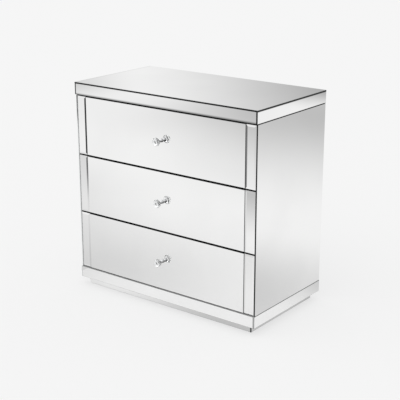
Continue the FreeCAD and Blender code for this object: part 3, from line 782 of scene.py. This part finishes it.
def with_cross(mesh, reach, width, top, depth):
    """Cut a cross recess for a driver into the upward face of a screw head."""
    shape = bmesh.new()
    for long_side, short_side in ((reach, width), (width, reach)):
        size = Matrix.Diagonal((2 * long_side, 2 * short_side, 2 * depth, 1))
        bmesh.ops.create_cube(shape, size=1, matrix=Matrix.Translation((0, 0, top)) @ size)
    cutter = add_object("cross_cutter", as_mesh("cross_cutter", shape))
    blank = add_object("screw_blank", mesh)
    cut = blank.modifiers.new("cross", "BOOLEAN")
    cut.object = cutter
    cut.operation = "DIFFERENCE"
    cut.use_self = True
    seen = blank.evaluated_get(bpy.context.evaluated_depsgraph_get())
    result = bpy.data.meshes.new_from_object(seen)
    for item in (blank, cutter):
        bpy.data.objects.remove(item)
    result.name = f"{mesh.name}_crossed"
    result.set_sharp_from_angle(angle=SHARP)
    return result


def repeated(name, mesh, places):
    """One mesh made of copies of another at a list of matrices."""
    joined = bmesh.new()
    for matrix in places:
        copy = mesh.copy()
        copy.transform(matrix)
        joined.from_mesh(copy)
        bpy.data.meshes.remove(copy)
    return as_mesh(name, joined)


def of_drawers(*parts):
    """Names of nodes that every drawer has."""
    return [f"{drawer}_drawer_{part}" for drawer in DRAWERS for part in parts]


def paint(names, material):
    """Give CAD nodes a finish."""
    for name in names:
        for slot in NODES[name].material_slots:
            slot.material = material


def pan_screw(name, radius, height, shank_radius, shank_length):
    """Pan-head screw standing on Z = 0 with its shank below, and a cross recess in its head."""
    shoulder, crown, arm = 0.55 * height, 0.6 * radius, 0.55 * radius
    profile = eased([(0, -shank_length, 0), (shank_radius, -shank_length, 0), (shank_radius, 0, 0),
                     (radius, 0, 0), (radius, shoulder, 0.4 * height),
                     (crown, height, 0.3 * height), (0, height, 0)])
    return with_cross(lathe(name, profile, segments=40), arm, 0.13 * radius, height, shoulder)


# ---- operators

def looks():
    """The settings in the scene."""
    return bpy.context.scene.mirrored_chest


class CHEST_OT_mirror_glass(Operator):
    """Silver the glass on the top, the sides, the bands, the plinth and the drawer fronts"""

    bl_idname = "chest.mirror_glass"
    bl_label = "Mirror glass"

    def execute(self, context):
        look = looks().glass
        # Cut edges painted light, paler where light comes through the glass.
        pale = {"edge": look.pale_edge}
        painted_light_left = {**pale, "left_edge": look.left_edge}
        for name, facing, settings, plates in (
                ("front", FACING_FRONT, {}, of_drawers("mirror_centre")),
                ("strips", FACING_FRONT, {"tone": strip_tone}, of_drawers("mirror_strips")),
                ("slab_front", FACING_FRONT, {"tone": slab_tone}, ["top_edge_mirror_front"]),
                ("base_front", FACING_FRONT, pale, ["base_edge_mirror_front"]),
                ("side", FACING_SIDE, {}, ["side_mirror_right"]),
                ("side_painted_light", FACING_SIDE, painted_light_left, ["side_mirror_left"]),
                ("slab_side", FACING_SIDE, {"tone": slab_side_tone}, ["top_edge_mirrors_side"]),
                ("base_side", FACING_SIDE, {**painted_light_left, "tone": base_side_tone},
                 ["base_edge_mirrors_side"]),
                ("top", FACING_UP, {"tone": top_tone}, ["top_mirror"]),
                ("plinth", FACING_ROUND, {"tone": plinth_tone}, ["plinth_mirrors"])):
            paint(plates, mirror_finish(f"mirror_{name}", facing, look, **settings))
        return {"FINISHED"}


class CHEST_OT_carcass(Operator):
    """Lacquer the carcass boards, paint the back panel and pin it on"""

    bl_idname = "chest.carcass"
    bl_label = "Carcass"

    def execute(self, context):
        look = looks().boards
        paint(["top_panel", "top_rails", "bottom_panel", "base_rails", "plinth_boards",
               "side_panel_left", "side_panel_right", "divider_rails", *of_drawers("front_board")],
              lacquer_finish(look))
        paint(["back_panel"], back_finish(look))
        self.pin_back(look)
        return {"FINISHED"}

    def pin_back(self, look):
        """Flat pin heads round the edge of the back panel."""
        low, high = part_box("back_panel")
        inset, head, proud = 4.5 * MM, 2.6 * MM, 0.25 * MM
        shank, depth = 0.6 * MM, 4 * MM
        spaces_across, spaces_up = 6, 5
        left, right = low.x + inset, high.x - inset
        bottom, top = low.z + inset, high.z - inset
        across = [left + (right - left) * step / spaces_across for step in range(spaces_across + 1)]
        up = [bottom + (top - bottom) * step / spaces_up for step in range(1, spaces_up)]
        spots = [(x, z) for z in (bottom, top) for x in across]
        spots += [(x, z) for x in (left, right) for z in up]
        pin = lathe("back_pin", eased([(0, -depth, 0), (shank, -depth, 0), (shank, 0, 0), (head, 0, 0),
                                       (head, 0.6 * proud, 0), (0.7 * head, proud, 0), (0, proud, 0)]),
                    segments=20)
        places = [Matrix.Translation((x, high.y, z)) @ LOOKING_BACK for x, z in spots]
        steel = steel_finish("pin_steel", look.pin, look.pin_dull, 0.4)
        new_piece("back_pins", repeated("back_pins", pin, places), "root", steel)


class CHEST_OT_drawer_boxes(Operator):
    """Wrap the drawer boxes in dark foil and flock their bottoms"""

    bl_idname = "chest.drawer_boxes"
    bl_label = "Drawer boxes"

    def execute(self, context):
        look = looks().boards
        paint(of_drawers("sides", "box_front", "box_back"), foil_finish(look))
        paint(of_drawers("bottom"), flock_finish(look))
        return {"FINISHED"}


class CHEST_OT_runners(Operator):
    """Plate the runners and fill their cages with balls"""

    bl_idname = "chest.runners"
    bl_label = "Ball runners"

    def execute(self, context):
        look = looks().runners
        zinc = steel_finish("runner_zinc", look.zinc, look.zinc_dull, 0.3)
        cage = steel_finish("cage_steel", look.cage, toned(look.cage, 0.7), 0.36)
        steel = steel_finish("ball_steel", look.steel, toned(look.steel, 0.92), 0.12)
        screw_steel = steel_finish("screw_zinc", look.zinc, look.zinc_dull, 0.28)
        paint(["runner_cabinet_members"], zinc)
        screw = pan_screw("runner_screw", radius=3.4 * MM, height=1.7 * MM, shank_radius=1.6 * MM,
                          shank_length=1 * MM)
        for drawer in DRAWERS:
            paint([f"{drawer}_runner_middle_members", f"{drawer}_runner_drawer_members"], zinc)
            paint([f"{drawer}_runner_outer_cages", f"{drawer}_runner_inner_cages"], cage)
            for ring, row in (("outer", look.outer_row), ("inner", look.inner_row)):
                self.fill_cage(look, f"{drawer}_runner_{ring}_cage", row, steel)
            self.screw_member(drawer, screw, screw_steel)
        return {"FINISHED"}

    def fill_cage(self, look, body, row, steel):
        """Balls in both rows of both cages of one body."""
        low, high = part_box(f"{body}s")
        half_height = (high.z - low.z) / 2 - look.cage_sheet / 2
        step = (high.y - low.y - 2 * look.end) / (look.windows - 1)
        places = [Matrix.Translation((x, low.y + look.end + step * number, (low.z + high.z) / 2 + side))
                  for x in (low.x + row, high.x - row) for side in (-half_height, half_height)
                  for number in range(look.windows)]
        shape = bmesh.new()
        bmesh.ops.create_icosphere(shape, subdivisions=3, radius=look.ball_diameter / 2)
        ball = as_mesh("ball", shape)
        ball.shade_smooth()
        name = body.replace("cage", "balls")
        new_piece(name, repeated(name, ball, places), body, steel)

    def screw_member(self, drawer, screw, steel):
        """Screws that hold the drawer members on the box, inside their channels."""
        low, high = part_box(f"{drawer}_runner_drawer_members")
        web, inset = 1.5 * MM, 30 * MM
        box_low, box_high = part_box(f"{drawer}_drawer_sides")
        places = []
        for x, turn in ((box_low.x - web, -90), (box_high.x + web, 90)):
            for y in (low.y + inset, (low.y + high.y) / 2, high.y - inset):
                spot = Matrix.Translation((x, y, (low.z + high.z) / 2))
                places.append(spot @ Matrix.Rotation(math.radians(turn), 4, "Y"))
        name = f"{drawer}_runner_screws"
        new_piece(name, repeated(name, screw, places), f"{drawer}_drawer", steel)


class CHEST_OT_knobs(Operator):
    """Turn the chrome bases, finish the crystals and drive in the screws"""

    bl_idname = "chest.knobs"
    bl_label = "Crystal knobs"

    def execute(self, context):
        look = looks().knobs
        chrome, crystal = chrome_finish(look), crystal_finish(look)
        steel = steel_finish("knob_screw_zinc", look.screw, look.screw_dull, 0.3)
        enamel, rubber = black_finish("knob_enamel", look, 0.25), black_finish("knob_rubber", look, 0.6)
        base, ring, washer = self.turned_base(look), self.enamel_ring(look), self.rubber_washer(look)
        for drawer in DRAWERS:
            low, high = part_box(f"{drawer}_knob_base")
            middle = (low.z + high.z) / 2
            seat = Matrix.Translation((0, high.y, middle)) @ LOOKING_FRONT
            turned = new_piece(f"{drawer}_knob_turned", base, f"{drawer}_drawer",
                               chrome, seat)
            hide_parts(f"{drawer}_knob_base")
            new_piece(f"{drawer}_knob_ring", ring, f"{drawer}_drawer", enamel, seat)
            new_piece(f"{drawer}_knob_washer", washer, f"{drawer}_drawer", rubber, seat)
            paint([f"{drawer}_knob_crystal"], crystal)
            self.drive_screw(look, drawer, steel)
        return {"FINISHED"}

    def drive_screw(self, look, drawer, steel):
        """Pan-head screw through the front of the drawer, with its head inside the box."""
        low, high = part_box(f"{drawer}_knob_screw")
        name = f"{drawer}_knob_fixing"
        screw = pan_screw(name, (high.x - low.x) / 2, look.screw_head, look.screw_diameter / 2,
                          high.y - low.y - look.screw_head)
        seat = Matrix.Translation((0, high.y - look.screw_head, (low.z + high.z) / 2)) @ LOOKING_BACK
        fixing = new_piece(name, screw, f"{drawer}_drawer", steel, seat)
        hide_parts(f"{drawer}_knob_screw")

    def enamel_ring(self, look):
        """Ring of black enamel that fills the groove of the collar; its black also stands in for shade in
        the groove.
        """
        middle, half = look.base_length - look.groove_lift, look.groove_width / 2
        inside, outside = look.collar_diameter / 2 - 0.6 * MM, look.collar_diameter / 2 - 0.05 * MM
        return lathe("knob_ring", [(inside, middle - half), (outside, middle - half),
                                   (outside, middle + half), (inside, middle + half),
                                   (inside, middle - half)], segments=48)

    def rubber_washer(self, look):
        """Washer that keeps the metal foot off the glass; its black also stands in for shade where the
        foot meets the glass.
        """
        inner, outer = look.stem_diameter / 2 - 3 * MM, look.foot_diameter / 2
        return lathe("knob_washer", eased([(inner, 0, 0), (outer, 0, 0), (outer, look.washer, 0.3 * MM),
                                           (inner, look.washer, 0), (inner, 0, 0)]), segments=48)

    def turned_base(self, look):
        """Foot, waisted stem and grooved collar of a knob."""
        foot, stem, collar = look.foot_diameter / 2, look.stem_diameter / 2, look.collar_diameter / 2
        seat = look.base_length - look.collar_thickness
        middle = (look.foot_thickness + seat) / 2
        groove, half = look.base_length - look.groove_lift, look.groove_width / 2
        waist, floor = stem - 0.5 * MM, collar - 0.5 * MM
        profile = eased([
            (0, look.washer, 0), (foot, look.washer, 0.2 * MM), (foot, look.foot_thickness, 0.5 * MM),
            (stem, look.foot_thickness, 0.5 * MM), (waist, middle, 3 * MM), (stem, seat, 0.5 * MM),
            (collar, seat, 0.8 * MM), (collar, groove - half, 0), (floor, groove - half, 0),
            (floor, groove + half, 0), (collar, groove + half, 0),
            (collar, look.base_length, 0.3 * MM), (0, look.base_length, 0)])
        return lathe("knob_base", profile, segments=72)


class CHEST_OT_stage(Operator):
    """Lay the floor, set the lights and place the camera"""

    bl_idname = "chest.stage"
    bl_label = "Stage"

    def execute(self, context):
        look = looks().stage
        self.lay_floor(look)
        self.light_world(look)
        self.hang_lamp(look)
        self.place_camera()
        context.scene.view_settings.view_transform = "Standard"
        return {"FINISHED"}

    def lay_floor(self, look):
        """Pale floor that shows itself to the camera and the mirrors, and keeps a soft shadow."""
        shape = bmesh.new()
        bmesh.ops.create_grid(shape, x_segments=1, y_segments=1, size=FLOOR_REACH)
        floor = add_object("floor", as_mesh("floor", shape))
        material, tree, shader, where = new_material("floor_paper")
        in_camera, in_mirror = ray_kinds(tree)
        lift = calc(tree, "MAXIMUM", calc(tree, "MULTIPLY", in_camera, look.lift),
                    calc(tree, "MULTIPLY", in_mirror, look.mirrored_lift))
        paper = blend(tree, in_mirror, look.floor, self.mirrored_floor(tree, where, look.floor))
        glow = blend(tree, lift, BLACK, paper)
        shade = blend(tree, lift, paper, BLACK)
        tree.links.new(shade, shader["Base Color"])
        tree.links.new(glow, shader["Emission Color"])
        shader["Emission Strength"].default_value = 1
        shader["Roughness"].default_value = 1
        shader["Specular IOR Level"].default_value = 0
        floor.data.materials.append(material)

    def mirrored_floor(self, tree, where, plain):
        """Floor as the glass mirrors it: soft grey patches, cut off round the chest and far out."""
        place = split(tree, where)
        aside = calc(tree, "GREATER_THAN", calc(tree, "ABSOLUTE", place["X"]), APRON_SIDE)
        before = calc(tree, "LESS_THAN", place["Y"], APRON_FRONT)
        outside = calc(tree, "MAXIMUM", aside, before)
        near = calc(tree, "LESS_THAN", place["X"], FAR_SIDE)
        far_floor, floor, apron = (soft_patches(tree, where, plain, patches)
                                   for patches in (FAR_PATCHES, FLOOR_PATCHES, APRON_PATCHES))
        return blend(tree, outside, apron, blend(tree, near, far_floor, floor))

    def light_world(self, look):
        """Even light from all round; the camera sees plain paper and the mirrors a soft studio."""
        world = bpy.data.worlds.new("studio")
        bpy.context.scene.world = world
        world.use_nodes = True
        tree = world.node_tree
        way = put(tree, "ShaderNodeTexCoord").outputs["Generated"]
        in_camera, in_mirror = ray_kinds(tree)
        even = (look.sky, look.sky, look.sky)
        lit = blend(tree, in_mirror, even, soft_patches(tree, way, look.floor, SKY_PATCHES))
        tree.links.new(blend(tree, in_camera, lit, look.floor), tree.nodes["Background"].inputs["Color"])

    def hang_lamp(self, look):
        """Broad soft lamp from the upper front left."""
        lamp = bpy.data.lights.new("broad_lamp", "SUN")
        lamp.energy = look.key
        lamp.angle = LAMP_SPREAD
        add_object("broad_lamp", lamp).rotation_euler = (LAMP_TILT, LAMP_TURN, 0)

    def place_camera(self):
        """Camera that looks down on the front and the right side."""
        data = bpy.data.cameras.new("camera")
        data.sensor_width = FILM_WIDTH
        data.lens = CAMERA_LENS
        camera = add_object("camera", data)
        camera.location = CAMERA_PLACE
        camera.rotation_euler = (math.radians(90 - CAMERA_DOWN), 0, math.radians(CAMERA_TURN))
        bpy.context.scene.camera = camera


STEPS = (CHEST_OT_mirror_glass, CHEST_OT_carcass, CHEST_OT_drawer_boxes, CHEST_OT_runners,
         CHEST_OT_knobs, CHEST_OT_stage)


class VIEW3D_PT_mirrored_chest(Panel):
    """Sizes, colours and steps of the mirrored chest"""

    bl_idname = "VIEW3D_PT_mirrored_chest"
    bl_label = "Mirrored Chest"
    bl_space_type = "VIEW_3D"
    bl_region_type = "UI"
    bl_category = "Chest"

    def draw(self, context):
        for name, kind in LOOKS.items():
            section = self.layout.box()
            section.label(text=name.title())
            for entry in kind.__annotations__:
                section.prop(getattr(context.scene.mirrored_chest, name), entry)
        for step in STEPS:
            self.layout.operator(step.bl_idname)


CLASSES = (*LOOKS.values(), ChestLook, *STEPS, VIEW3D_PT_mirrored_chest)


def register():
    """Add the settings, the steps and the panel."""
    for kind in CLASSES:
        bpy.utils.register_class(kind)
    Scene.mirrored_chest = PointerProperty(type=ChestLook)


def unregister():
    """Take them out again."""
    del Scene.mirrored_chest
    for kind in reversed(CLASSES):
        bpy.utils.unregister_class(kind)


def main():
    """Dress the chest step by step."""
    register()
    for step in STEPS:
        family, name = step.bl_idname.split(".")
        getattr(getattr(bpy.ops, family), name)()


if __name__ == "__main__":
    main()
